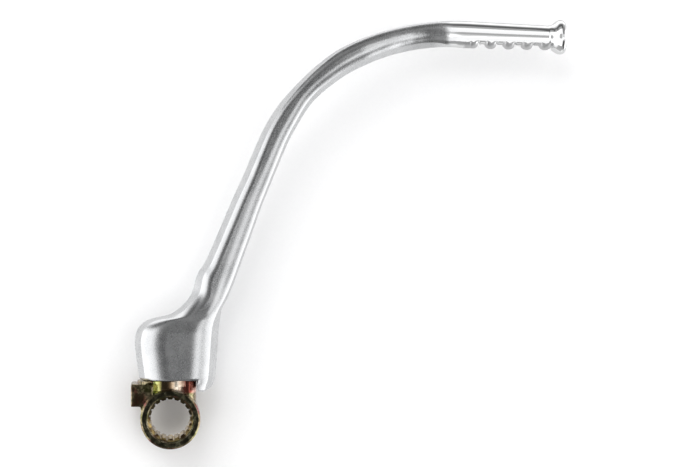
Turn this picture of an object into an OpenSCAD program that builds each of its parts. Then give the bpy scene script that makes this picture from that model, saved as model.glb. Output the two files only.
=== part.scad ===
// Folding kick start lever, upright as it stands on the engine.
// Origin: centre of the splined hub. X to the right, Y away from the
// outer side (towards the engine), Z up. Lengths in millimetres.

/* [Hub] */
// Outside radius of the hub ring
hub_r = 14.8; // [14.5:0.1:15.2]
// Length of the hub along the kick shaft
hub_len = 22.8; // [22:0.2:24]
// Edge bevel at the front of the hub
hub_bevel = 0.9; // [0.4:0.1:1.0]
// Radius of the recess for the bolt's washer
recess_r = 11.9; // [11.5:0.1:12.5]
// Depth of the recess for the bolt's washer
recess_d = 2.2; // [1.5:0.1:2.6]
// Radius to the tips of the spline teeth
spline_tip_r = 9.75; // [9.5:0.05:9.9]
// Radius to the roots of the spline teeth
spline_root_r = 10.65; // [10.4:0.05:10.8]
// Number of spline teeth
spline_teeth = 20; // [18:1:22]

/* [Pivot] */
// Distance of the fold pivot to the right of the hub's centre
pivot_x = 2.5; // [2.3:0.1:2.7]
// Radius of the neck's front
neck_r = 9.8; // [9.6:0.1:10]
// Radius of the neck's right side, round the pivot
side_r = 10.5; // [10.3:0.1:10.6]
// Radius of the pivot post
post_r = 8.95; // [8.9:0.01:8.98]
// Radius of the lever's pivot bore
socket_r = 9.0; // [9:0.01:9.04]
// Height of the post's top
post_top = 38.2; // [36:0.1:38.3]
// Top of the knuckle's flange
flange_top = 19.0; // [18.8:0.1:19.1]
// Radius of the knuckle's flange
flange_r = 18.9; // [18.4:0.1:19.2]

/* [Lever] */
// Height of the boss's lower face
boss_bottom = 19.3; // [19.3:0.1:19.6]
// Distance from the pivot to the inside face of the stop tab
tab_face = 10.8; // [10.8:0.05:11]
// Length of the bevel under the stop tab
tab_bevel = 1.8; // [1.8:0.1:2.2]
// Radius of the disc at the peg's end
disc_r = 8.6; // [8.2:0.1:9]
// Radius of the disc's rounded rim
disc_rim = 2.6; // [2.2:0.1:2.8]

/* [Detent] */
// Radius of the detent ball
ball_r = 2.5; // [2.5:0.1:2.5]
// Distance of the ball from the pivot
ball_off = 13.8; // [13.8:0.1:14]
// How deep the ball sits in the flange
ball_sink = 0.8; // [0.6:0.1:0.9]
// Wire radius of the detent spring
wire_r = 0.35; // [0.3:0.05:0.4]
// Number of coils in the detent spring
coils = 7; // [5:1:8]

/* [Hidden] */
y_front = -hub_len / 2;
y_back = hub_len / 2;
socket_top = post_top + 0.4;
ball_z = flange_top + ball_r - ball_sink;
spring_z0 = ball_z + 2.14;
spring_z1 = 33.6;
web_z = 30;

// Stations along the lever, from the tab's foot to the end of the peg:
// outer edge x, z; inner edge x, z; centre y; half depth; squareness
ST = [
  [-15, 13.6, 17.4, 13.6, 0, 12.6, 3.4],
  [-15, 14.2, 19.3, 14.2, 0, 13.3, 3.4],
  [-15, 15.4, 20.6, 15.4, 0, 13.8, 3.4],
  [-15.2, 17.2, 21.5, 17.2, 0, 14, 3.4],
  [-15.5, 20, 22.4, 20, 0, 14, 3.4],
  [-16.4, 27, 23, 27, 0, 14, 3.4],
  [-17.3, 34, 23.5, 34, 0, 14, 3.4],
  [-17.5, 38, 23.8, 38.5, 0, 14, 3.4],
  [-17, 42, 24.1, 42.4, 0, 14, 3.3],
  [-15.7, 45, 24.3, 45, 0, 13.7, 3.2],
  [-13.4, 47.4, 24.5, 47, 0, 13.3, 3.1],
  [-10, 49.2, 24.8, 48.8, 0, 12.8, 3],
  [-5.5, 50.4, 25, 50.2, 0, 12.3, 3],
  [-1.2, 51.3, 25.2, 51.5, 0, 11.7, 2.9],
  [2.6, 53.1, 25.5, 52.8, 0, 11.2, 2.9],
  [5.9, 55.9, 25.9, 54.2, 0, 10.7, 2.9],
  [8.6, 58.8, 26.6, 55.8, 0, 10.2, 2.8],
  [10.6, 62, 27.6, 57.6, -0.1, 9.8, 2.8],
  [11.7, 65.3, 28.7, 59.8, -0.2, 9.4, 2.8],
  [12.7, 69, 30, 62.8, -0.4, 9.1, 2.8],
  [14.3, 73, 31.6, 66.8, -0.6, 8.9, 2.7],
  [17, 77, 33.3, 71.3, -1, 8.7, 2.7],
  [20, 83.3, 35.6, 77.7, -1.6, 8.5, 2.6],
  [26.3, 98, 40.7, 91.7, -2.4, 8.3, 2.6],
  [31.4, 110, 45.2, 104.5, -3.2, 8.2, 2.6],
  [36.7, 121.5, 49.8, 116, -4, 8, 2.6],
  [41.5, 133, 54.3, 127, -4.8, 7.9, 2.6],
  [46.6, 144.3, 58.9, 137.7, -5.5, 7.7, 2.6],
  [52.9, 154.6, 64, 147, -6.2, 7.6, 2.5],
  [59, 162, 69, 155, -6.8, 7.5, 2.5],
  [65.3, 168.6, 74, 160.6, -7.4, 7.4, 2.5],
  [72.2, 175, 79.8, 165.4, -7.8, 7.4, 2.5],
  [81.8, 182.3, 87.7, 171, -8, 7.3, 2.5],
  [91.8, 187.5, 96.7, 175.7, -7.7, 7.1, 2.5],
  [103.3, 191.9, 107.3, 180, -6.2, 6.6, 2.5],
  [115, 195.2, 118, 183, -4, 6, 2.5],
  [127.2, 197.4, 129, 184.8, -3, 5.9, 2.5],
  [138.5, 198.4, 139.2, 185.4, -3, 6.7, 2.5],
  [150, 198.3, 150, 184.8, -3, 6.5, 2.5],
  [170, 197.3, 170, 184.3, -3, 6.4, 2.5],
  [193, 196.2, 193, 184, -3, 6.2, 2.5]
];
RN = 32;
SUB = 2;

function cr(a, b, c, d, t) =
  0.5 * ((2 * b) + (c - a) * t + (2 * a - 5 * b + 4 * c - d) * t * t + (3 * b - a - 3 * c + d) * t * t * t);
function at(i) = ST[max(0, min(len(ST) - 1, i))];
function station(i, t) = cr(at(i - 1), at(i), at(i + 1), at(i + 2), t);
function pw(v, e) = sign(v) * pow(abs(v), e);
function ring_point(s, a) =
  let (u = pw(cos(a), 2 / s[6]), v = pw(sin(a), 2 / s[6]))
  [(s[0] + s[2]) / 2 + u * (s[2] - s[0]) / 2, s[4] + v * s[5], (s[1] + s[3]) / 2 + u * (s[3] - s[1]) / 2];

// Skin through a list of rings with n points each
module skin(rings, n) {
  m = len(rings);
  polyhedron(
    points = [for (r = rings) for (p = r) p],
    faces = concat(
      [[for (j = [0:n - 1]) j]],
      [for (i = [0:m - 2]) for (j = [0:n - 1]) [i * n + j, (i + 1) * n + j, i * n + (j + 1) % n]],
      [for (i = [0:m - 2]) for (j = [0:n - 1]) [(i + 1) * n + j, (i + 1) * n + (j + 1) % n, i * n + (j + 1) % n]],
      [[for (j = [n - 1:-1:0]) (m - 1) * n + j]]),
    convexity = 10);
}

module lever_body() {
  last = len(ST) - 1;
  stations = concat([for (i = [0:last - 1]) for (k = [0:SUB - 1]) station(i, k / SUB)], [ST[last]]);
  skin([for (s = stations) [for (j = [0:RN - 1]) ring_point(s, 360 * j / RN)]], RN);
}

// Disc at the end of the peg
module end_disc() {
  translate([196, -3, 190.6]) rotate([0, 90, 0]) {
    cylinder(r = disc_r - disc_rim, h = 2 * disc_rim, center = true, $fn = 64);
    rotate_extrude($fn = 64) translate([disc_r - disc_rim, 0]) circle(r = disc_rim, $fn = 32);
    translate([0, 0, -5.6]) cylinder(r1 = 5.9, r2 = 7.9, h = 4.4, $fn = 64);
  }
}

// Cross grooves that leave the peg's cleats standing
module cleat_grooves() {
  for (i = [0:4]) {
    translate([146.9 + 9.2 * i, 0, 185.9]) rotate([90, 0, 0]) cylinder(r = 1.7, h = 40, center = true, $fn = 32);
    translate([145.2 + 9.2 * i, -20, 175]) cube([3.4, 40, 10.9]);
  }
}

module lever_arm() {
  color([0.74, 0.75, 0.76]) {
    difference() {
      lever_body();
      // foot of the boss is cut back and leaves the stop tab
      translate([-40, -30, 0]) cube([40 + pivot_x + tab_face, 60, boss_bottom]);
      translate([pivot_x + tab_face, 0, 13.2 + tab_bevel]) rotate([0, 45, 0])
        translate([-10, -30, -3]) cube([20, 60, 3]);
      translate([pivot_x, 0, 10]) cylinder(r = socket_r, h = socket_top - 10, $fn = 96);
      translate([pivot_x, 0, 20.2]) cylinder(r = 10.5, h = 1.5, $fn = 96);
      translate([pivot_x, 0, 30]) cylinder(r = 4, h = 19.8, $fn = 64);
      translate([pivot_x - ball_off, 0, 10]) cylinder(r = ball_r + 0.1, h = 24, $fn = 64);
      cleat_grooves();
    }
    end_disc();
  }
}

module hub_blank() {
  rotate([-90, 0, 0]) rotate_extrude($fn = 128) polygon([
    [0, y_front], [hub_r - hub_bevel, y_front], [hub_r, y_front + hub_bevel],
    [hub_r, y_back - 0.6], [hub_r - 0.6, y_back], [0, y_back]]);
}

// Sector of a round plate about the pivot, from angle a0 to a1
module sector(r, h, a0, a1) {
  intersection() {
    cylinder(r = r, h = h, $fn = 128);
    translate([0, 0, -1]) linear_extrude(height = h + 2)
      polygon(concat([[0, 0]], [for (k = [0:4]) let (a = a0 + (a1 - a0) * k / 4) [60 * cos(a), 60 * sin(a)]]));
  }
}

module stop_block() {
  rotate([0, -90, 0]) translate([0, 0, 8.5]) linear_extrude(height = 11)
    polygon([[6.2, -10.5], [15.9, -10.5], [17.6, -9], [17.6, 9], [6.2, 9]]);
  // web between the block and the hub
  translate([-14.2, -9.5, 2]) cube([8, 18, 6]);
}

// One gap between two teeth, cut outwards from the bore
module spline_notch() {
  polygon([[9.4, -0.75], [spline_tip_r, -0.68], [spline_root_r, -0.28], [spline_root_r, 0.28], [spline_tip_r, 0.68], [9.4, 0.75]]);
}

module knuckle() {
  color([0.55, 0.47, 0.24]) difference() {
    union() {
      hub_blank();
      translate([-1.5, 0, 2]) cylinder(r = neck_r, h = flange_top - 2, $fn = 128);
      intersection() {
        translate([pivot_x, 0, 4]) cylinder(r = side_r, h = flange_top - 4, $fn = 128);
        translate([-4, -7.5, 3]) cube([30, 30, 20]);
      }
      // flat that the stop tab rests on
      translate([pivot_x, 0, 4]) cube([side_r, 10.6, flange_top - 4]);
      translate([pivot_x, 0, 15.2]) sector(flange_r, flange_top - 15.2, 58, 212);
      stop_block();
      translate([pivot_x, 0, 18]) cylinder(r = post_r, h = post_top - 18, $fn = 128);
    }
    // splined bore
    rotate([90, 0, 0]) cylinder(r = spline_tip_r, h = 40, center = true, $fn = 128);
    rotate([90, 0, 0]) linear_extrude(height = 40, center = true)
      for (i = [0:spline_teeth - 1]) rotate(360 * (i + 0.5) / spline_teeth) spline_notch();
    // recess for the washer and the lead-in to the splines
    translate([0, y_front + recess_d, 0]) rotate([90, 0, 0]) cylinder(r = recess_r, h = 10, $fn = 128);
    translate([0, y_front + recess_d + 0.7, 0]) rotate([90, 0, 0]) cylinder(r1 = spline_root_r - 0.5, r2 = recess_r - 0.1, h = 0.8, $fn = 128);
    translate([0, y_back + 0.01, 0]) rotate([90, 0, 0]) cylinder(r1 = spline_root_r + 0.3, r2 = spline_tip_r - 0.2, h = 1, $fn = 128);
    // way in for the pivot screw, from the splined bore
    translate([pivot_x, 0, 0]) cylinder(r = 6.9, h = web_z, $fn = 96);
    translate([pivot_x, 0, 20]) cylinder(r = 5.04, h = 30, $fn = 96);
    // path of the detent ball, with a seat at each end
    translate([pivot_x, 0, ball_z]) rotate([0, 0, 90]) rotate_extrude(angle = 90, $fn = 96)
      translate([ball_off, 0]) circle(r = ball_r + 0.04, $fn = 48);
    for (a = [90, 180]) translate([pivot_x + ball_off * cos(a), ball_off * sin(a), ball_z]) sphere(r = ball_r + 0.08, $fn = 48);
  }
}

module pivot_screw() {
  color([0.32, 0.32, 0.34]) translate([pivot_x, 0, 0]) difference() {
    union() {
      translate([0, 0, 25.4]) cylinder(r = 6.4, h = 3.8, $fn = 64);
      translate([0, 0, 25.4]) cylinder(r = 5, h = socket_top - 25.4, $fn = 64);
      translate([0, 0, 30]) cylinder(r = 3.95, h = 18.6, $fn = 64);
      translate([0, 0, 48.6]) cylinder(r1 = 3.95, r2 = 3.1, h = 0.8, $fn = 64);
    }
    translate([0, 0, 25.3]) cylinder(r = 3.46, h = 2.6, $fn = 6);
  }
}

module thrust_washer() {
  color([0.8, 0.78, 0.7]) translate([pivot_x, 0, 29.2]) difference() {
    cylinder(r = 6.6, h = 0.7, $fn = 64);
    translate([0, 0, -1]) cylinder(r = 5.03, h = 3, $fn = 64);
  }
}

module seal_ring() {
  color([0.1, 0.1, 0.1]) translate([pivot_x, 0, 20.95])
    rotate_extrude($fn = 96) translate([9.78, 0]) circle(r = 0.7, $fn = 32);
}

// Compression spring with closed ends, as a tube along a helix
function spring_h(t) =
  let (e = 1 / (coils + 2))
  t < e ? 2.1 * wire_r * (t / e) :
  t > 1 - e ? (spring_z1 - spring_z0) - 2.1 * wire_r * ((1 - t) / e) :
  2.1 * wire_r + (spring_z1 - spring_z0 - 4.2 * wire_r) * (t - e) / (1 - 2 * e);
module detent_spring() {
  n = (coils + 2) * 14;
  color([0.6, 0.62, 0.65]) translate([pivot_x - ball_off, 0, spring_z0])
    skin([for (k = [0:n]) let (t = k / n, a = 360 * (coils + 2) * t, h = spring_h(t))
      [for (j = [0:7]) let (b = -360 * j / 8)
        [(1.95 + wire_r * cos(b)) * cos(a), (1.95 + wire_r * cos(b)) * sin(a), h + wire_r * sin(b)]]], 8);
}

module detent_ball() {
  color([0.85, 0.86, 0.88]) translate([pivot_x - ball_off, 0, ball_z]) sphere(r = ball_r, $fn = 48);
}

knuckle();
lever_arm();
pivot_screw();
thrust_washer();
seal_ring();
detent_spring();
detent_ball();
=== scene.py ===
import math

import bmesh
import bpy
import numpy as np
from mathutils import Matrix, Vector


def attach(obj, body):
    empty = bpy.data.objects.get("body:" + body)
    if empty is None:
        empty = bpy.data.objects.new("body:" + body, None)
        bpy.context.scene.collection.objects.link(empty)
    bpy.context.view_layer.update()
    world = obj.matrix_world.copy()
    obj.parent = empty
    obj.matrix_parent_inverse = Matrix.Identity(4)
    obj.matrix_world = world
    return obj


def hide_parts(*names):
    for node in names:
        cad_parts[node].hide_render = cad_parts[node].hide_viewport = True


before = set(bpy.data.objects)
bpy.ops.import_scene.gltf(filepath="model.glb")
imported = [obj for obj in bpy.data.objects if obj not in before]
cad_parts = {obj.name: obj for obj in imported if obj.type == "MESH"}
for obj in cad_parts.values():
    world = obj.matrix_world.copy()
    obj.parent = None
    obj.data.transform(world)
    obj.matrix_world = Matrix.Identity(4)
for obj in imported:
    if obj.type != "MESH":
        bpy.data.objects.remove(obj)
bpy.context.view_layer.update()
scene = bpy.context.scene
MM = 0.001

# ------------------------------------------------------------------ camera
# The photo was taken square on from the outer side, from about 1.1 m, a
# little to the left of the lever's middle, because the lever lies tilted.
CAM_POS = Vector((0.000, -1.100, 0.110))
CAM_AIM = Vector((0.0901, 0.0, 0.0918))
cam_data = bpy.data.cameras.new("camera")
cam_data.sensor_width = 36.0
cam_data.lens = 113.0
cam_data.clip_start = 0.02
cam_data.clip_end = 20.0
cam_data.dof.use_dof = False
camera = bpy.data.objects.new("camera", cam_data)
scene.collection.objects.link(camera)
camera.location = CAM_POS
camera.rotation_euler = (CAM_AIM - CAM_POS).to_track_quat("-Z", "Y").to_euler()
scene.camera = camera

# ------------------------------------------------------------------ node help


class Nodes:
    """Short ways to write a node tree."""

    def __init__(self, tree):
        self.t = tree
        tree.nodes.clear()

    def add(self, kind, **props):
        n = self.t.nodes.new(kind)
        for k, v in props.items():
            setattr(n, k, v)
        return n

    def put(self, value, socket):
        if isinstance(value, bpy.types.NodeSocket):
            self.t.links.new(value, socket)
        elif value is not None:
            socket.default_value = value

    def math(self, op, a, b=None, c=None, clamp=False):
        n = self.add("ShaderNodeMath", operation=op, use_clamp=clamp)
        for i, v in enumerate((a, b, c)):
            self.put(v, n.inputs[i])
        return n.outputs[0]

    def step(self, v, lo, hi, a=0.0, b=1.0):
        n = self.add("ShaderNodeMapRange", interpolation_type="SMOOTHSTEP", clamp=True)
        self.put(v, n.inputs[0])
        for i, x in enumerate((lo, hi, a, b)):
            self.put(x, n.inputs[i + 1])
        return n.outputs[0]

    def lin(self, v, lo, hi, a=0.0, b=1.0):
        n = self.add("ShaderNodeMapRange", interpolation_type="LINEAR", clamp=True)
        self.put(v, n.inputs[0])
        for i, x in enumerate((lo, hi, a, b)):
            self.put(x, n.inputs[i + 1])
        return n.outputs[0]

    def band(self, v, lo, hi, soft):
        up = self.step(v, lo - soft, lo + soft)
        down = self.step(v, hi - soft, hi + soft, 1.0, 0.0)
        return self.math("MULTIPLY", up, down)

    def vmath(self, op, a, b=None):
        n = self.add("ShaderNodeVectorMath", operation=op)
        self.put(a, n.inputs[0])
        self.put(b, n.inputs[1])
        return n.outputs[0]

    def noise(self, vec, scale, detail=2.0, rough=0.5, dist=0.0, dims="3D"):
        n = self.add("ShaderNodeTexNoise", noise_dimensions=dims)
        self.put(vec, n.inputs["Vector"])
        n.inputs["Scale"].default_value = scale
        n.inputs["Detail"].default_value = detail
        n.inputs["Roughness"].default_value = rough
        n.inputs["Distortion"].default_value = dist
        return n.outputs[0]

    def ramp(self, v, stops, mode="LINEAR"):
        n = self.add("ShaderNodeValToRGB")
        n.color_ramp.interpolation = mode
        el = n.color_ramp.elements
        while len(el) > len(stops):
            el.remove(el[-1])
        while len(el) < len(stops):
            el.new(0.5)
        for e, (p, c) in zip(el, stops):
            e.position = p
            e.color = (*c, 1.0) if len(c) == 3 else c
        self.put(v, n.inputs[0])
        return n.outputs[0]

    def mix(self, f, a, b, mode="MIX"):
        n = self.add("ShaderNodeMix", data_type="RGBA", blend_type=mode)
        self.put(f, n.inputs[0])
        self.put(a if isinstance(a, bpy.types.NodeSocket) else (*a, 1.0), n.inputs[6])
        self.put(b if isinstance(b, bpy.types.NodeSocket) else (*b, 1.0), n.inputs[7])
        return n.outputs[2]

    def bump(self, height, strength, distance, normal=None):
        n = self.add("ShaderNodeBump")
        n.inputs["Strength"].default_value = strength
        n.inputs["Distance"].default_value = distance
        self.put(height, n.inputs["Height"])
        self.put(normal, n.inputs["Normal"])
        return n.outputs[0]


def new_material(name):
    m = bpy.data.materials.new(name)
    m.use_nodes = True
    n = Nodes(m.node_tree)
    out = n.add("ShaderNodeOutputMaterial")
    p = n.add("ShaderNodeBsdfPrincipled")
    m.node_tree.links.new(p.outputs[0], out.inputs[0])
    co = n.add("ShaderNodeTexCoord").outputs["Object"]
    return m, n, p, co


# ------------------------------------------------------------------ materials


def satin_aluminium():
    """Blasted forging that turns into a hand polished peg."""
    m, n, p, co = new_material("satin_and_polished_aluminium")
    p.inputs["Metallic"].default_value = 1.0
    sep = n.add("ShaderNodeSeparateXYZ")
    n.put(co, sep.inputs[0])
    x, y, z = sep.outputs
    # polished from here on: the edge wanders a little, as buffing leaves it
    wander = n.noise(co, 260.0, 2.0, 0.5)
    edge = n.math("ADD", x, n.math("MULTIPLY", n.math("SUBTRACT", wander, 0.5), 0.0060))
    polished = n.step(edge, 0.1350, 0.1440)
    rough_part = n.math("SUBTRACT", 1.0, polished)
    # blasted grain in three sizes
    fine = n.noise(co, 3600.0, 3.0, 0.62)
    grain = n.noise(co, 2000.0, 2.0, 0.5)
    cloud = n.noise(co, 130.0, 3.0, 0.6)
    # polishing lines run along the peg
    mp = n.add("ShaderNodeMapping")
    n.put(co, mp.inputs[0])
    mp.inputs["Scale"].default_value = (60.0, 2400.0, 2400.0)
    lines = n.noise(mp.outputs[0], 1.0, 3.0, 0.6)
    tone = n.math("ADD", n.math("MULTIPLY", cloud, 0.6), n.math("MULTIPLY", grain, 0.4))
    satin_col = n.ramp(tone, [(0.34, (0.68, 0.690, 0.705)), (0.5, (0.76, 0.768, 0.779)), (0.66, (0.83, 0.835, 0.842))])
    col = n.mix(polished, satin_col, (0.88, 0.885, 0.89))
    # the cleats are left as they were milled, so they are rougher; their darker base colour on the peg's underside is
    # painted shade
    milled_and_painted_shade = n.math("MULTIPLY", n.step(z, 0.1868, 0.1876, 1.0, 0.0), n.math("MULTIPLY", n.step(x, 0.146, 0.148), n.step(x, 0.190, 0.192, 1.0, 0.0)))
    col = n.mix(n.math("MULTIPLY", milled_and_painted_shade, polished), col, (0.60, 0.603, 0.608))
    n.put(col, p.inputs["Base Color"])
    r_satin = n.math("ADD", n.lin(cloud, 0.3, 0.7, 0.25, 0.30), n.math("MULTIPLY", n.math("SUBTRACT", grain, 0.5), 0.10))
    r_pol = n.lin(lines, 0.3, 0.7, 0.045, 0.12)
    r_pol = n.math("ADD", r_pol, n.math("MULTIPLY", milled_and_painted_shade, 0.26))
    r = n.math("ADD", n.math("MULTIPLY", r_satin, rough_part), n.math("MULTIPLY", r_pol, polished))
    n.put(r, p.inputs["Roughness"])
    h = n.math("MULTIPLY", n.math("ADD", n.math("MULTIPLY", fine, 0.5), grain), rough_part)
    b1 = n.bump(h, 0.70, 0.00006)
    b2 = n.bump(n.math("MULTIPLY", lines, polished), 0.10, 0.00001, b1)
    n.put(b2, p.inputs["Normal"])
    return m


def plated_steel():
    """Forged steel with a yellow chromate over zinc: gold, olive and copper patches, with painted highlights and
    painted shade on the neck, the ring's front face, the bore and the recess wall.
    """
    m, n, p, co = new_material("yellow_plated_steel")
    p.inputs["Metallic"].default_value = 1.0
    sep = n.add("ShaderNodeSeparateXYZ")
    n.put(co, sep.inputs[0])
    x, y, z = sep.outputs
    big = n.noise(co, 95.0, 2.0, 0.5, 0.6)
    mid = n.noise(co, 340.0, 3.0, 0.6, 0.4)
    fine = n.noise(co, 1900.0, 3.0, 0.6)
    tint = n.math("ADD", n.math("MULTIPLY", big, 0.7), n.math("MULTIPLY", mid, 0.3))
    col = n.ramp(tint, [
        (0.30, (0.34, 0.42, 0.16)), (0.39, (0.60, 0.62, 0.26)), (0.46, (0.74, 0.66, 0.40)), (0.52, (0.70, 0.56, 0.36)),
        (0.57, (0.52, 0.30, 0.18)), (0.62, (0.46, 0.18, 0.16)), (0.68, (0.34, 0.24, 0.28)), (0.76, (0.42, 0.46, 0.24))])
    dark = n.mix(n.step(mid, 0.42, 0.62), (0.24, 0.22, 0.20), (0.74, 0.74, 0.74))
    col = n.mix(1.0, col, dark, "MULTIPLY")
    # the neck: chromate tints, with painted highlights and painted shade laid in upright bands across it
    across = n.math("ADD", n.lin(x, -0.010, 0.014), n.math("MULTIPLY", n.math("SUBTRACT", mid, 0.5), 0.16))
    neck_tints_painted_light = n.ramp(across, [
        (0.06, (0.40, 0.46, 0.16)), (0.13, (0.80, 0.86, 0.34)), (0.20, (0.55, 0.50, 0.18)), (0.25, (0.12, 0.09, 0.05)),
        (0.42, (0.17, 0.11, 0.06)), (0.47, (0.72, 0.56, 0.40)), (0.56, (0.98, 0.88, 0.74)), (0.65, (0.78, 0.58, 0.44)),
        (0.72, (0.24, 0.07, 0.05)), (0.84, (0.36, 0.10, 0.07)), (0.91, (0.90, 0.55, 0.46))])
    neck = n.math("MULTIPLY", n.step(z, 0.0120, 0.0135), n.math("MULTIPLY", n.step(y, 0.002, 0.005, 1.0, 0.0), n.step(x, -0.0088, -0.0080)))
    col = n.mix(neck, col, neck_tints_painted_light)
    # turned ring: its front face is made nearly black as painted shade; the splined bore is brown and gold under
    # painted shade
    radius = n.math("SQRT", n.math("ADD", n.math("MULTIPLY", x, x), n.math("MULTIPLY", z, z)))
    face = n.math("MULTIPLY", n.step(y, -0.0111, -0.0108, 1.0, 0.0), n.step(radius, 0.0138, 0.0143, 1.0, 0.0))
    ring_face_painted_shade = n.mix(n.step(mid, 0.40, 0.64), (0.07, 0.065, 0.04), (0.24, 0.225, 0.14))
    col = n.mix(face, col, ring_face_painted_shade)
    # splined bore: brown and gold, darkened as painted shade in the hole; its upper half is painted darker still as
    # painted shade
    bore = n.math("MULTIPLY", n.step(radius, 0.0110, 0.0114, 1.0, 0.0), n.step(y, -0.0094, -0.0090))
    bore_tint_painted_shade = n.mix(n.step(n.noise(co, 420.0, 2.0, 0.5), 0.38, 0.62), (0.11, 0.065, 0.03), (0.60, 0.44, 0.19))
    unshaded_lower_half = n.step(z, -0.003, 0.003, 1.0, 0.0)
    bore_tint_painted_shade = n.mix(unshaded_lower_half, (0.07, 0.055, 0.03), bore_tint_painted_shade)
    col = n.mix(bore, col, bore_tint_painted_shade)
    # recess wall: bright cream as painted highlight, its upper half dark as painted shade
    wall = n.math("MULTIPLY", n.band(radius, 0.0116, 0.0121, 0.0002), n.band(y, -0.0110, -0.0092, 0.0002))
    wall_painted_light_col = n.mix(n.step(mid, 0.36, 0.60), (0.62, 0.50, 0.30), (0.96, 0.92, 0.78))
    wall_painted_light_col = n.mix(unshaded_lower_half, (0.10, 0.085, 0.05), wall_painted_light_col)
    col = n.mix(wall, col, wall_painted_light_col)
    n.put(col, p.inputs["Base Color"])
    plain = n.math("SUBTRACT", 1.0, n.math("MULTIPLY", n.math("MAXIMUM", bore, wall), 0.85))
    n.put(n.math("ADD", n.lin(mid, 0.3, 0.7, 0.14, 0.30), n.math("MULTIPLY", bore, 0.12)), p.inputs["Roughness"])
    b1 = n.bump(n.math("MULTIPLY", mid, plain), 0.35, 0.00022)
    b2 = n.bump(n.math("MULTIPLY", fine, plain), 0.30, 0.00004, b1)
    n.put(b2, p.inputs["Normal"])
    return m


def turned_metal(name, lo, hi, rough_lo, rough_hi, axis_scale, bump=0.15):
    m, n, p, co = new_material(name)
    p.inputs["Metallic"].default_value = 1.0
    mp = n.add("ShaderNodeMapping")
    n.put(co, mp.inputs[0])
    mp.inputs["Scale"].default_value = axis_scale
    rings = n.noise(mp.outputs[0], 1.0, 3.0, 0.6)
    cloud = n.noise(co, 260.0, 3.0, 0.6)
    n.put(n.mix(n.step(cloud, 0.3, 0.7), lo, hi), p.inputs["Base Color"])
    n.put(n.lin(rings, 0.3, 0.7, rough_lo, rough_hi), p.inputs["Roughness"])
    n.put(n.bump(rings, bump, 0.00003), p.inputs["Normal"])
    return m


def black_rubber():
    m, n, p, co = new_material("black_rubber")
    cloud = n.noise(co, 600.0, 3.0, 0.6)
    fine = n.noise(co, 2600.0, 2.0, 0.5)
    n.put(n.ramp(cloud, [(0.3, (0.012, 0.012, 0.013)), (0.7, (0.03, 0.03, 0.031))]), p.inputs["Base Color"])
    n.put(n.lin(cloud, 0.3, 0.7, 0.45, 0.7), p.inputs["Roughness"])
    n.put(n.bump(fine, 0.2, 0.00003), p.inputs["Normal"])
    return m


# ------------------------------------------------------------------ mesh help
# All meshes are made in millimetres and end in metres.


def mesh_object(name, verts, faces):
    me = bpy.data.meshes.new(name)
    me.from_pydata([tuple(v) for v in verts], [], [tuple(f) for f in faces])
    me.update()
    o = bpy.data.objects.new(name, me)
    scene.collection.objects.link(o)
    return o


def fix_normals(o):
    bm = bmesh.new()
    bm.from_mesh(o.data)
    bmesh.ops.remove_doubles(bm, verts=bm.verts, dist=1e-5)
    bmesh.ops.recalc_face_normals(bm, faces=bm.faces)
    bm.to_mesh(o.data)
    bm.free()


def prism(points, y0, y1, axis="Y", name="prism"):
    """A closed outline in the plane across axis, drawn from y0 to y1."""
    n = len(points)

    def place(a, b, h):
        return {"Y": (a, h, b), "Z": (a, b, h), "X": (h, a, b)}[axis]

    v = [place(a, b, y0) for a, b in points] + [place(a, b, y1) for a, b in points]
    f = [list(range(n)), list(range(2 * n - 1, n - 1, -1))]
    f += [[i, (i + 1) % n, n + (i + 1) % n, n + i] for i in range(n)]
    o = mesh_object(name, v, f)
    fix_normals(o)
    return o


def turned(profile, centre, axis="Y", n=128, name="turned"):
    """A solid of revolution. profile is (radius, position along the axis)."""
    v, f = [], []
    m = len(profile)
    for r, h in profile:
        for k in range(n):
            a = 2 * math.pi * k / n
            c, s = r * math.cos(a), r * math.sin(a)
            p = {"Y": (c, h, s), "Z": (c, s, h), "X": (h, c, s)}[axis]
            v.append((p[0] + centre[0], p[1] + centre[1], p[2] + centre[2]))
    for i in range(m - 1):
        for k in range(n):
            k2 = (k + 1) % n
            f.append([i * n + k, i * n + k2, (i + 1) * n + k2, (i + 1) * n + k])
    f.append(list(range(n)))
    f.append([(m - 1) * n + k for k in range(n)])
    o = mesh_object(name, v, f)
    fix_normals(o)
    return o


def settle(o):
    """Applies the modifiers of o."""
    dg = bpy.context.evaluated_depsgraph_get()
    dg.update()
    me = bpy.data.meshes.new_from_object(o.evaluated_get(dg))
    old = o.data
    o.modifiers.clear()
    o.data = me
    bpy.data.meshes.remove(old)
    return o


def combine(o, others, operation):
    for t in others:
        mod = o.modifiers.new("b", "BOOLEAN")
        mod.operation = operation
        mod.object = t
        mod.solver = "MANIFOLD"
        before = len(o.data.polygons)
        settle(o)
        if len(o.data.polygons) == 0 or (len(o.data.polygons) == before and operation == "UNION" and before < 4):
            raise RuntimeError("a boolean step failed on " + o.name)
        bpy.data.objects.remove(t)
    return o


def finish_mesh(o, angle=35.0):
    """To metres, smooth shaded, with edges sharper than angle kept."""
    o.data.transform(Matrix.Scale(MM, 4))
    bm = bmesh.new()
    bm.from_mesh(o.data)
    bmesh.ops.dissolve_degenerate(bm, edges=bm.edges, dist=1e-8)
    bmesh.ops.recalc_face_normals(bm, faces=bm.faces)
    lim = math.radians(angle)
    for fc in bm.faces:
        fc.smooth = True
    for e in bm.edges:
        if len(e.link_faces) == 2:
            e.smooth = e.calc_face_angle(0.0) < lim
        else:
            e.smooth = False
    bm.to_mesh(o.data)
    bm.free()
    o.data.update()
    return o


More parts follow.
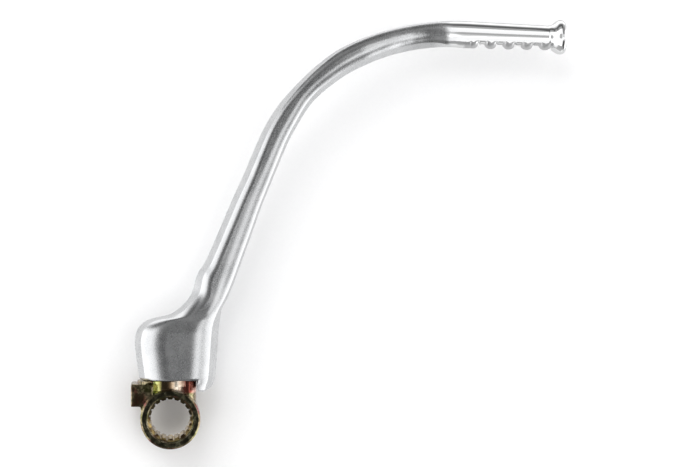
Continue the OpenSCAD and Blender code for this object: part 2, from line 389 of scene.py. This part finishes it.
# ------------------------------------------------------------------ lever
# Stations: outer edge x, z; inner edge x, z. Millimetres.
ST = np.array([
    [-15, 13.6, 17.4, 13.6], [-15, 14.2, 19.3, 14.2], [-15, 15.4, 20.6, 15.4], [-15.2, 17.2, 21.5, 17.2],
    [-15.5, 20, 22.4, 20], [-16.4, 27, 23, 27], [-17.3, 34, 23.5, 34], [-17.5, 38, 23.8, 38.5],
    [-17, 42, 24.1, 42.4], [-15.7, 45, 24.3, 45], [-13.4, 47.4, 24.5, 47], [-10, 49.2, 24.8, 48.8],
    [-5.5, 50.4, 25, 50.2], [-1.2, 51.3, 25.2, 51.5], [2.6, 53.1, 25.5, 52.8], [5.9, 55.9, 25.9, 54.2],
    [8.6, 58.8, 26.6, 55.8], [10.6, 62, 27.6, 57.6], [11.7, 65.3, 28.7, 59.8], [12.7, 69, 30, 62.8],
    [14.3, 73, 31.6, 66.8], [17, 77, 33.3, 71.3], [20, 83.3, 35.6, 77.7], [26.3, 98, 40.7, 91.7],
    [31.4, 110, 45.2, 104.5], [36.7, 121.5, 49.8, 116], [41.5, 133, 54.3, 127], [46.6, 144.3, 58.9, 137.7],
    [52.9, 154.6, 64, 147], [59, 162, 69, 155], [65.3, 168.6, 74, 160.6], [72.2, 175, 79.8, 165.4],
    [81.8, 182.3, 87.7, 171], [91.8, 187.5, 96.7, 175.7], [103.3, 191.9, 107.3, 180], [115, 195.2, 118, 183],
    [127.2, 197.4, 129, 184.8], [138.5, 198.4, 139.2, 185.4], [150, 198.3, 150, 184.8], [170, 197.3, 170, 184.3],
    [193, 196.2, 193, 184],
], float)


def cr(a, b, c, d, t):
    return 0.5 * (2 * b + (c - a) * t + (2 * a - 5 * b + 4 * c - d) * t * t + (3 * b - a - 3 * c + d) * t ** 3)


def station(s):
    i = min(int(s), len(ST) - 2)
    g = lambda k: ST[max(0, min(len(ST) - 1, k))]
    return cr(g(i - 1), g(i), g(i + 1), g(i + 2), s - i)


# What the section looks like along the lever, by station number.
# yc centre, d half depth, fl and fr widths of the drafted side walls,
# wl and wr their depth, cl and cr widths of the rounded corners,
# tilt how much lower the front's inner side is than its outer side
KEY = {
    "s":    [0, 1, 2, 3, 4, 8, 10, 12, 14, 16, 18, 20, 22, 24, 26, 28, 30, 32, 33, 34, 35, 35.5, 36, 36.5, 37, 37.25, 37.6, 38, 40],
    "yc":   [0, 0, 0, 0, 0, 0, 0, 0, 0, 0, -0.2, -0.6, -1.6, -3.2, -4.8, -6.2, -7.4, -8, -7.7, -6.2, -4, -3.3, -3, -3, -3, -3, -3, -3, -3],
    "d":    [12.6, 13.3, 13.8, 14, 14, 14, 13.3, 12.3, 11.2, 10.2, 9.4, 8.9, 8.5, 8.2, 7.9, 7.6, 7.4, 7.3, 7.1, 6.6, 6, 5.7, 5.8, 6.3, 6.75, 6.6, 6.5, 6.5, 6.2],
    "fl":   [3, 3, 3, 3, 3, 3, 3, 3, 3, 3, 3.6, 3, 2.8, 2.7, 2.7, 2.3, 1.6, 1, 0.7, 0.5, 0.4, 0.4, 0.4, 0.4, 0.4, 0.4, 0.4, 0.4, 0.4],
    "fr":   [1, 2.4, 3.4, 3.8, 3.8, 3.8, 3.4, 2.8, 2.2, 1.6, 1.5, 1.3, 1.3, 1.3, 1.4, 1.8, 2.2, 2.3, 2.4, 2.5, 2.6, 2.6, 2.5, 1.9, 0.9, 0.5, 0.4, 0.4, 0.4],
    "cl":   [12.5, 12.5, 12.5, 12.5, 12.5, 12.5, 11, 9.2, 7.4, 6.2, 5.4, 4.8, 4.0, 3.8, 3.0, 2.6, 3, 3.6, 4, 4.4, 4.8, 5, 5.2, 5.2, 5.2, 5.2, 5.2, 5.2, 5],
    "cr":   [9.5, 9.5, 9.5, 9.5, 9.5, 9.5, 9, 8, 6.5, 5.2, 5.5, 6.6, 6.6, 6, 5.2, 4.6, 4.2, 4.4, 4.4, 4.6, 4.8, 5, 5.2, 5.2, 5.2, 5.2, 5.2, 5.2, 5],
    "al":   [52, 52, 52, 52, 52, 52, 52, 52, 52, 52, 52, 52, 52, 52, 52, 52, 52, 54, 55, 56, 58, 60, 60, 60, 60, 60, 60, 60, 60],
    "ar":   [40, 40, 40, 40, 40, 40, 41, 42, 43, 44, 45, 45, 45, 45, 46, 47, 48, 48, 48, 48, 48, 48, 50, 52, 54, 56, 60, 60, 60],
    "tilt": [0, 0, 0, 0, 0, 0, 0, 0, 0.1, 0.15, 0.12, 0.12, 0.12, 0.08, 0.03, 0, 0, 0, 0, 0, 0, 0, 0, 0, 0, 0, 0, 0, 0],
}


def smooth_key(name, s):
    """Smooth curve through the key values (monotone cubic)."""
    xs, ys = np.array(KEY["s"], float), np.array(KEY[name], float)
    i = int(np.clip(np.searchsorted(xs, s, side="right") - 1, 0, len(xs) - 2))
    h = np.diff(xs)
    dl = np.diff(ys) / h

    def slope(k):
        if k == 0:
            return dl[0]
        if k == len(xs) - 1:
            return dl[-1]
        if dl[k - 1] * dl[k] <= 0:
            return 0.0
        w1, w2 = 2 * h[k] + h[k - 1], h[k] + 2 * h[k - 1]
        return (w1 + w2) / (w1 / dl[k - 1] + w2 / dl[k])

    t = (s - xs[i]) / h[i]
    a, b = slope(i), slope(i + 1)
    return ((2 * t ** 3 - 3 * t * t + 1) * ys[i] + (t ** 3 - 2 * t * t + t) * h[i] * a
            + (-2 * t ** 3 + 3 * t * t) * ys[i + 1] + (t ** 3 - t * t) * h[i] * b)


def bezier(p0, p1, p2, p3, n):
    t = np.linspace(0, 1, n, endpoint=False)[:, None]
    return (1 - t) ** 3 * p0 + 3 * (1 - t) ** 2 * t * p1 + 3 * (1 - t) * t * t * p2 + t ** 3 * p3


def line(p0, p1, ts):
    t = np.array(ts)[:, None]
    return p0 * (1 - t) + p1 * t


def half_section(W, d, fl, fr, cl, cr_, al, ar, tilt):
    """From the outer parting line over the front to the inner one."""
    if fl + fr + cl + cr_ > 2 * W * 0.96:
        k = (2 * W * 0.96 - fl - fr) / (cl + cr_)
        cl, cr_ = cl * k, cr_ * k
    al, ar = math.radians(al), math.radians(ar)
    wl = d - cl * math.tan(al / 2)
    wr = d - tilt - cr_ * math.tan(ar / 2)
    A = np.array([-W, 0.0])
    B = np.array([-W + fl, -wl])
    C = np.array([-W + fl + cl, -d])
    D = np.array([W - fr - cr_, -d + tilt])
    E = np.array([W - fr, -wr])
    F = np.array([W, 0.0])
    f = (D - C) / (np.linalg.norm(D - C) + 1e-9)
    kl = cl / math.sin(al) * math.tan(al / 4) * 4 / 3
    kr = cr_ / math.sin(ar) * math.tan(ar / 4) * 4 / 3
    pts = [
        line(A, B, [0, 0.03, 0.25, 0.5, 0.75, 0.96]),
        bezier(B, B + kl * np.array([math.cos(al), -math.sin(al)]), C - kl * f, C, 15),
        line(C, D, np.linspace(0, 1, 12, endpoint=False)),
        bezier(D, D + kr * f, E - kr * np.array([math.cos(ar), math.sin(ar)]), E, 15),
        line(E, F, [0, 0.04, 0.25, 0.5, 0.75, 0.97]),
    ]
    return np.vstack(pts)


PEG0, PEG1 = 133.5, 144.0


def section(s):
    L = station(s)
    half = 0.5 * math.hypot(L[2] - L[0], L[3] - L[1])
    k = {n: float(smooth_key(n, s)) for n in KEY if n != "s"}
    front = half_section(half, k["d"], k["fl"], k["fr"], k["cl"], k["cr"], k["al"], k["ar"], k["tilt"])
    mf, mc, ma = 0.5 * (k["fl"] + k["fr"]), 0.5 * (k["cl"] + k["cr"]), 0.5 * (k["al"] + k["ar"])
    back = half_section(half, k["d"], mf, mf, mc, mc, ma, ma, 0.0)
    back = np.array([[u, -v] for u, v in back])[::-1]
    # both halves share the parting points
    back = np.vstack([[[half, 0.0]], back[:-1]])
    return L, half, k, np.vstack([front, back])


def cleats(x, ang):
    """How far the surface is cut back at x and section angle ang (0 front, -90 bottom, 180 back)."""
    a = np.where(ang > 150, ang - 360, ang)
    m = np.clip((-a - 26.0) / 12.0, 0, 1)
    m = m * m * (3 - 2 * m)
    m2 = np.clip((a + 205.0) / 14.0, 0, 1)
    m = m * m2 * m2 * (3 - 2 * m2)
    cut = np.zeros_like(a)
    centres = [151.5 + 9.2 * i for i in range(5)]
    if 145.4 < x < 192.0:
        best = min(abs(x - c) for c in centres)
        lobe = math.sqrt(max(0.0, 1 - min(1.0, best / 2.95) ** 2))
        cut = cut + 2.2 * (1 - lobe)
        if x < 147.4:
            cut = cut * max(0.0, (x - 145.4) / 2.0)
        if x > 190.3:
            cut = cut * max(0.0, (192.0 - x) / 1.7)
        for c in centres:
            q = abs(x - (c + 3.15)) / 0.55
            if q < 1:
                cut = cut + 0.9 * (1 - q)
    return cut * m


def blend_shoulder(R, s):
    """Hand blended look of a forging: evens out the front between its two edges, without shrinking it."""
    b, e = 7, 48
    near_boss = np.clip((s - 8.5) / 2.0, 0, 1) * np.clip((19.5 - s) / 3.0, 0, 1)
    whole = np.clip((s - 7.0) / 2, 0, 1) * np.clip((36.5 - s) / 2, 0, 1)
    w = (0.15 * whole + 0.85 * near_boss)[1:-1, None, None]
    for i in range(60):
        for k in (0.5, -0.515):
            mid = R[1:-1, b:e]
            near = 0.5 * (R[:-2, b:e] + R[2:, b:e])
            if i % 5 == 0:
                near = 0.5 * near + 0.25 * (R[1:-1, b - 1:e - 1] + R[1:-1, b + 1:e + 1])
            R[1:-1, b:e] = mid + k * w * (near - mid)
    return [r for r in R]


def lever_rings():
    rings = []
    s_list = []
    # fine near the foot and the shoulder, about a millimetre along the arm
    for i in range(0, 38):
        L0, L1 = ST[i], ST[i + 1]
        step = 0.5 * (math.hypot(L1[0] - L0[0], L1[1] - L0[1]) + math.hypot(L1[2] - L0[2], L1[3] - L0[3]))
        n = max(2, int(round(step / (0.85 if i < 22 else 1.15))))
        s_list += [i + k / n for k in range(n)]
    s_list.append(38.0)
    for s in s_list:
        L, half, k, sec = section(s)
        c = np.array([(L[0] + L[2]) / 2, (L[1] + L[3]) / 2])
        e = np.array([L[2] - L[0], L[3] - L[1]])
        e = e / np.linalg.norm(e)
        x_here = c[0]
        # turn into the round peg
        w = float(np.clip((x_here - PEG0) / (PEG1 - PEG0), 0, 1))
        w = w * w * (3 - 2 * w)
        if w > 0:
            ang = np.unwrap(np.arctan2(sec[:, 1], sec[:, 0]))
            uni = ang[0] + np.sign(ang[-1] - ang[0]) * 2 * math.pi * np.arange(len(ang)) / len(ang)
            a2 = ang * (1 - w) + uni * w
            circ = np.stack([half * np.cos(a2), k["d"] * np.sin(a2)], 1)
            sec = sec * (1 - w) + circ * w
        pts = np.stack([c[0] + sec[:, 0] * e[0], k["yc"] + sec[:, 1], c[1] + sec[:, 0] * e[1]], 1)
        rings.append(pts)
    rings = blend_shoulder(np.array(rings), np.array(s_list))
    # the peg: round, upright rings
    n = len(rings[-1])
    xs = list(np.arange(150.3, 190.0, 0.3))
    for x in xs:
        t = (x - 150.0) / 43.0
        if x <= 170:
            q = (x - 150) / 20.0
            top, bot, d = 198.3 - 1.0 * q, 184.8 - 0.5 * q, 6.5 - 0.1 * q
        else:
            q = (x - 170) / 23.0
            top, bot, d = 197.3 - 1.1 * q, 184.3 - 0.3 * q, 6.4 - 0.2 * q
        rings.append(peg_ring(x, (top + bot) / 2, (top - bot) / 2, d, n))
    # flare, disc and end face
    disc = [(190.2, 6.15, 190.25), (190.8, 6.2, 190.3), (191.4, 6.35, 190.35), (192.0, 6.65, 190.4), (192.6, 7.05, 190.45),
            (193.2, 7.5, 190.5), (193.7, 7.85, 190.55), (194.2, 8.15, 190.6), (194.7, 8.38, 190.6), (195.2, 8.52, 190.6),
            (195.8, 8.59, 190.6), (196.3, 8.6, 190.6), (196.8, 8.54, 190.6), (197.3, 8.4, 190.6), (197.8, 8.12, 190.6),
            (198.2, 7.72, 190.6), (198.45, 7.2, 190.6), (198.57, 6.6, 190.6), (198.6, 6.0, 190.6), (198.6, 4.0, 190.6),
            (198.6, 2.0, 190.6), (198.6, 0.6, 190.6)]
    for x, r, z in disc:
        rings.append(peg_ring(x, z, r, r, n))
    return rings


def peg_ring(x, zc, rz, ry, n):
    """Same point order as a section: starts at the top (outer edge), goes over the front."""
    k = np.arange(n)
    a = math.pi / 2 - 2 * math.pi * k / n      # angle from the front's horizontal, up positive
    ang = np.degrees(np.arctan2(np.sin(a), np.cos(a)))
    cut = cleats(x, ang)
    rzz, ryy = rz - cut, ry - cut
    return np.stack([np.full(n, float(x)), -3 - ryy * np.cos(a), zc + rzz * np.sin(a)], 1)


def skin(name, rings):
    n = len(rings[0])
    verts = np.vstack(rings)
    faces = []
    for i in range(len(rings) - 1):
        a, b = i * n, (i + 1) * n
        for j in range(n):
            j2 = (j + 1) % n
            faces.append((a + j, a + j2, b + j2, b + j))
    faces.append(tuple(range(n)))
    faces.append(tuple((len(rings) - 1) * n + j for j in range(n)))
    o = mesh_object(name, verts, faces)
    bm = bmesh.new()
    bm.from_mesh(o.data)
    bmesh.ops.recalc_face_normals(bm, faces=bm.faces)
    bm.to_mesh(o.data)
    bm.free()
    return o


PX = 2.5            # fold pivot
BOSS = 19.3         # underside of the boss
TAB = 10.8          # pivot to the tab's inside face


def make_lever():
    rings = lever_rings()
    # a small rounding where the boss meets its underside
    for r in rings[:120]:
        z = r[:, 2]
        zc = z.mean()
        if zc < 21.5 and abs(z.max() - z.min()) < 0.2 and zc > 18.5:
            q = max(0.0, 1 - (zc - BOSS) / 0.8) if zc > BOSS else 1.0
            shrink = 0.8 * (1 - math.sqrt(max(0.0, 1 - min(1.0, q) ** 2)))
            side = np.clip((PX + TAB + 1.5 - r[:, 0]) / 1.5, 0, 1)
            cx = 3.2
            v = r - np.array([cx, 0, zc])
            ln = np.linalg.norm(v[:, :2], axis=1)[:, None]
            r[:, :2] -= (v[:, :2] / ln) * (shrink * side)[:, None]
    lever = skin("lever_arm_forging", rings)
    cut = []
    cut.append(prism([(-40, -10), (PX + TAB, -10), (PX + TAB, BOSS), (-40, BOSS)], -30, 30, "Y", "cut"))
    cut.append(prism([(PX + TAB - 4, 11.0), (PX + TAB + 4, 11.0), (PX + TAB - 1.0, 16.0), (PX + TAB - 4, 16.0)], -30, 30, "Y", "cut"))
    cut.append(turned([(9.0, 10.0), (9.0, 38.6)], (PX, 0, 0), "Z", 96, "cut"))
    cut.append(turned([(10.5, 20.2), (10.5, 21.7)], (PX, 0, 0), "Z", 96, "cut"))
    cut.append(turned([(4.0, 36.0), (4.0, 49.8)], (PX, 0, 0), "Z", 64, "cut"))
    cut.append(turned([(2.6, 10.0), (2.6, 34.0)], (PX - 13.8, 0, 0), "Z", 64, "cut"))
    combine(lever, cut, "DIFFERENCE")
    finish_mesh(lever, 32.0)
    return lever


# ------------------------------------------------------------------ knuckle


def arc(cx, cy, r, a0, a1, n):
    return [(cx + r * math.cos(math.radians(a0 + (a1 - a0) * k / n)), cy + r * math.sin(math.radians(a0 + (a1 - a0) * k / n)))
            for k in range(n + 1)]


def make_knuckle():
    # the forging's rough shape, rounded all over
    body = turned([(9.0, -10.9), (14.55, -10.9), (14.55, 11.0), (9.0, 11.0)], (0, 0, 0), "Y", 128, "knuckle_forging")
    neck = turned([(9.8, 2.0), (9.8, 18.9)], (-1.5, 0, 0), "Z", 128, "t")
    side = prism(arc(PX, 0, 10.4, -46, 0, 20) + [(PX + 10.4, 10.5), (-4.0, 10.5), (-4.0, -7.5)], 4.0, 18.9, "Z", "t")
    plate = prism([(PX, 0)] + arc(PX, 0, 18.8, 58, 212, 90), 15.3, 18.95, "Z", "t")
    block = prism([(-19.4, 6.3), (-8.6, 6.3), (-8.6, 17.5), (-19.4, 17.5)], -10.4, 8.9, "Y", "t")
    web = prism([(-14.2, 1.0), (-6.0, 1.0), (-6.0, 8.0), (-14.9, 8.0)], -9.8, 8.4, "Y", "t")
    combine(block, [prism([(-11.0, 15.7), (-8.7, 17.9), (-12.0, 19.0)], -25, 0, "X", "t")], "DIFFERENCE")
    combine(body, [neck, side, plate, block, web], "UNION")
    mod = body.modifiers.new("r", "REMESH")
    mod.mode = "VOXEL"
    mod.voxel_size = 0.36
    sm = body.modifiers.new("s", "SMOOTH")
    sm.factor = 0.5
    sm.iterations = 4
    settle(body)
    # machined faces: hub ring, post
    ring = turned([(7.0, -11.4), (13.9, -11.4), (14.8, -10.5), (14.8, 10.8), (14.2, 11.4), (7.0, 11.4)], (0, 0, 0), "Y", 192, "t")
    post = turned([(8.95, 16.0), (8.95, 37.6), (8.35, 38.2)], (PX, 0, 0), "Z", 96, "t")
    combine(body, [ring, post], "UNION")
    # splined bore
    outline = []
    for i in range(20):
        c = 18.0 * i
        tip = math.degrees(0.68 / 9.75)
        rt = math.degrees(0.28 / 10.65)
        outline += arc(0, 0, 9.75, c - 9 + tip, c + 9 - tip, 5)
        outline += [(10.65 * math.cos(math.radians(c + 9 - rt)), 10.65 * math.sin(math.radians(c + 9 - rt))),
                    (10.65 * math.cos(math.radians(c + 9 + rt)), 10.65 * math.sin(math.radians(c + 9 + rt)))]
    cuts = [
        prism(outline, -30, 30, "Y", "t"),
        turned([(11.9, -14.0), (11.9, -9.2)], (0, 0, 0), "Y", 160, "t"),
        turned([(11.7, -9.3), (10.1, -8.5)], (0, 0, 0), "Y", 160, "t"),
        turned([(9.5, 10.3), (11.0, 11.5)], (0, 0, 0), "Y", 160, "t"),
        turned([(6.9, 0.0), (6.9, 30.0)], (PX, 0, 0), "Z", 96, "t"),
        turned([(5.04, 20.0), (5.04, 45.0)], (PX, 0, 0), "Z", 96, "t"),
    ]
    combine(body, cuts, "DIFFERENCE")
    finish_mesh(body, 34.0)
    return body


# ------------------------------------------------------------------ world and lights


def make_world():
    w = bpy.data.worlds.new("studio")
    scene.world = w
    w.use_nodes = True
    n = Nodes(w.node_tree)
    out = n.add("ShaderNodeOutputWorld")
    bg = n.add("ShaderNodeBackground")
    w.node_tree.links.new(bg.outputs[0], out.inputs[0])
    sep = n.add("ShaderNodeSeparateXYZ")
    n.put(n.add("ShaderNodeTexCoord").outputs["Generated"], sep.inputs[0])
    x, y, z = sep.outputs
    fwd = n.math("MULTIPLY", y, -1.0)
    phi = n.math("MULTIPLY", n.math("ARCTAN2", x, fwd), 180 / math.pi)
    tau = n.math("MULTIPLY", n.math("ARCTAN2", z, fwd), 180 / math.pi)
    # dark towards the camera, white paper behind
    base = n.ramp(n.math("MULTIPLY_ADD", fwd, 0.5, 0.5), [
        (0.0, (0.72,) * 3), (0.25, (0.80,) * 3), (0.46, (0.50,) * 3), (0.62, (0.34,) * 3), (0.75, (0.28,) * 3), (0.85, (0.24,) * 3),
        (0.91, (0.20,) * 3), (0.955, (0.15,) * 3), (0.985, (0.105,) * 3), (1.0, (0.10,) * 3)])
    total = base
    boxes = [
        # angle, lo, hi, soft, cross axis, lo, hi, soft, strength
        (phi, -116, -41, 9, z, -0.70, 0.50, 0.12, 0.96),
        (phi, 48, 116, 9, z, -0.22, 0.55, 0.12, 1.04),
        (phi, 62, 116, 8, z, -0.80, -0.22, 0.12, 1.04),
        (phi, 20, 36, 5, z, 0.02, 0.30, 0.07, 0.60),
        (phi, 8, 42, 6, z, -0.40, -0.02, 0.04, 0.66),
        (phi, 16, 38, 6, z, -0.30, 0.32, 0.10, 0.50),
        (tau, 106, 140, 4, x, -0.6, 0.6, 0.1, 0.5),
    ]
    for a, lo, hi, so, c, clo, chi, cso, k in boxes:
        b = n.math("MULTIPLY", n.band(a, lo, hi, so), n.band(c, clo, chi, cso))
        total = n.math("ADD", total, n.math("MULTIPLY", b, k))
    top_dark = n.math("MULTIPLY", n.band(tau, 58, 98, 3), n.band(x, -0.75, 0.31, 0.04))
    low_dark = n.math("MULTIPLY", n.band(tau, -112, -64, 5), n.band(x, -0.60, 0.09, 0.03))
    slant = n.math("MULTIPLY_ADD", x, 1.25, z)
    low_right = n.math("MULTIPLY", n.math("MULTIPLY", n.step(x, 0.0, 0.1), n.step(slant, -0.12, 0.06, 1.0, 0.0)),
                       n.math("MULTIPLY", n.step(z, -0.50, -0.26, 1.0, 0.0), n.step(fwd, -0.20, 0.0)))
    behind = n.math("MULTIPLY", n.band(tau, 150, 170, 4), n.band(x, 0.10, 0.24, 0.03))
    both = n.math("MAXIMUM", n.math("MULTIPLY", behind, 0.7), n.math("MAXIMUM", top_dark, low_dark))
    total = n.math("MULTIPLY", total, n.math("SUBTRACT", 1.0, n.math("MULTIPLY", both, 0.68)))
    total = n.math("MULTIPLY", total, n.math("SUBTRACT", 1.0, n.math("MULTIPLY", low_right, 0.78)))
    lp = n.add("ShaderNodeLightPath")
    seen = n.math("MAXIMUM", total, lp.outputs["Is Camera Ray"])
    n.put(seen, bg.inputs["Color"])
    bg.inputs["Strength"].default_value = 1.0


def area(name, loc, aim, size, power, glossy=False):
    d = bpy.data.lights.new(name, "AREA")
    d.shape = "RECTANGLE"
    d.size, d.size_y = size
    d.energy = power
    o = bpy.data.objects.new(name, d)
    scene.collection.objects.link(o)
    o.location = loc
    o.rotation_euler = (Vector(aim) - Vector(loc)).to_track_quat("-Z", "Y").to_euler()
    o.visible_glossy = glossy
    o.visible_camera = False
    return o


def card(name, x0, x1, z0, z1, radiance):
    """A white card 20 mm in front of the peg, seen only in reflections."""
    w, h = x1 - x0, z1 - z0
    d = bpy.data.lights.new(name, "AREA")
    d.shape = "RECTANGLE"
    d.size, d.size_y = w, h
    d.energy = radiance * math.pi * w * h
    o = bpy.data.objects.new(name, d)
    scene.collection.objects.link(o)
    o.location = ((x0 + x1) / 2, -0.030, (z0 + z1) / 2)
    o.rotation_euler = Vector((0, 1, 0)).to_track_quat("-Z", "Y").to_euler()
    o.visible_camera = False
    o.visible_diffuse = False
    return o


def make_paper():
    """The white sheet that the lever lies on, seen only by the camera and from its own side."""
    me = bpy.data.meshes.new("paper")
    y = 0.0172
    me.from_pydata([(-1.6, y, -1.5), (1.8, y, -1.5), (1.8, y, 1.7), (-1.6, y, 1.7)], [], [(0, 1, 2, 3)])
    o = bpy.data.objects.new("paper", me)
    scene.collection.objects.link(o)
    m = bpy.data.materials.new("paper")
    m.use_nodes = True
    n = Nodes(m.node_tree)
    out = n.add("ShaderNodeOutputMaterial")
    co = n.add("ShaderNodeTexCoord").outputs["Object"]
    dif = n.add("ShaderNodeBsdfDiffuse")
    grain = n.noise(co, 900.0, 3.0, 0.6)
    n.put(n.ramp(grain, [(0.3, (0.93, 0.93, 0.935)), (0.7, (0.95, 0.95, 0.952))]), dif.inputs["Color"])
    clear = n.add("ShaderNodeBsdfTransparent")
    geo = n.add("ShaderNodeNewGeometry")
    mix = n.add("ShaderNodeMixShader")
    n.put(geo.outputs["Backfacing"], mix.inputs[0])
    n.t.links.new(dif.outputs[0], mix.inputs[1])
    n.t.links.new(clear.outputs[0], mix.inputs[2])
    n.t.links.new(mix.outputs[0], out.inputs[0])
    me.materials.append(m)
    o.visible_diffuse = False
    o.visible_glossy = False
    o.visible_transmission = False
    o.visible_shadow = False
    return o


# ------------------------------------------------------------------ build
alu = satin_aluminium()
gold = plated_steel()

lever = make_lever()
lever.data.materials.clear()
lever.data.materials.append(alu)
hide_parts("lever_arm")
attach(lever, "arm")

knuckle = make_knuckle()
knuckle.data.materials.clear()
knuckle.data.materials.append(gold)
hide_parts("knuckle")
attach(knuckle, "knuckle")


def dress(node, mat):
    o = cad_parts[node]
    o.data.materials.clear()
    o.data.materials.append(mat)


dress("pivot_screw", turned_metal("black_oxide_steel", (0.05, 0.05, 0.055), (0.11, 0.11, 0.115), 0.28, 0.45, (300, 300, 2600)))
dress("thrust_washer", turned_metal("bright_washer_steel", (0.50, 0.49, 0.47), (0.66, 0.65, 0.62), 0.22, 0.40, (900, 900, 300)))
dress("detent_spring", turned_metal("spring_wire", (0.34, 0.35, 0.37), (0.52, 0.53, 0.55), 0.25, 0.42, (1200, 1200, 500)))
dress("detent_ball", turned_metal("polished_ball_steel", (0.72, 0.73, 0.75), (0.80, 0.81, 0.83), 0.05, 0.11, (400, 400, 400), 0.05))
dress("seal_ring", black_rubber())

make_world()
make_paper()
area("key", (-0.50, -1.00, 1.30), (0.08, 0.0, 0.10), (1.4, 1.4), 18.5)
area("fill", (0.35, -1.5, 0.0), (0.08, 0.0, 0.10), (2.6, 2.6), 19.0)

for i, x0, x1, part in ((0, 0.1380, 0.1400, 0.22), (1, 0.1400, 0.1420, 0.40), (2, 0.1420, 0.1440, 0.72), (3, 0.1440, 0.1997, 1.0)):
    card("card_top_%d" % i, x0, x1, 0.2235, 0.270, 0.30)
    card("card_high_%d" % i, x0, x1, 0.1986, 0.2235, 0.28 + 0.64 * part)
    card("card_low_%d" % i, x0, x1, 0.1418, 0.1858, 0.25 + 0.80 * part)
    card("card_middle_%d" % i, x0, min(x1, 0.1954), 0.1858, 0.1986, 0.34)
card("card_side", 0.1954, 0.1997, 0.1858, 0.1986, 0.85)
under = card("card_under", 0.1445, 0.2100, -0.0255, 0.010, 0.30)
under.location = (0.17625, -0.00775, 0.150)
under.rotation_euler = (math.pi, 0.0, 0.0)

scene.view_settings.view_transform = "Standard"
scene.view_settings.look = "None"
scene.view_settings.exposure = 0.0
scene.view_settings.gamma = 1.0
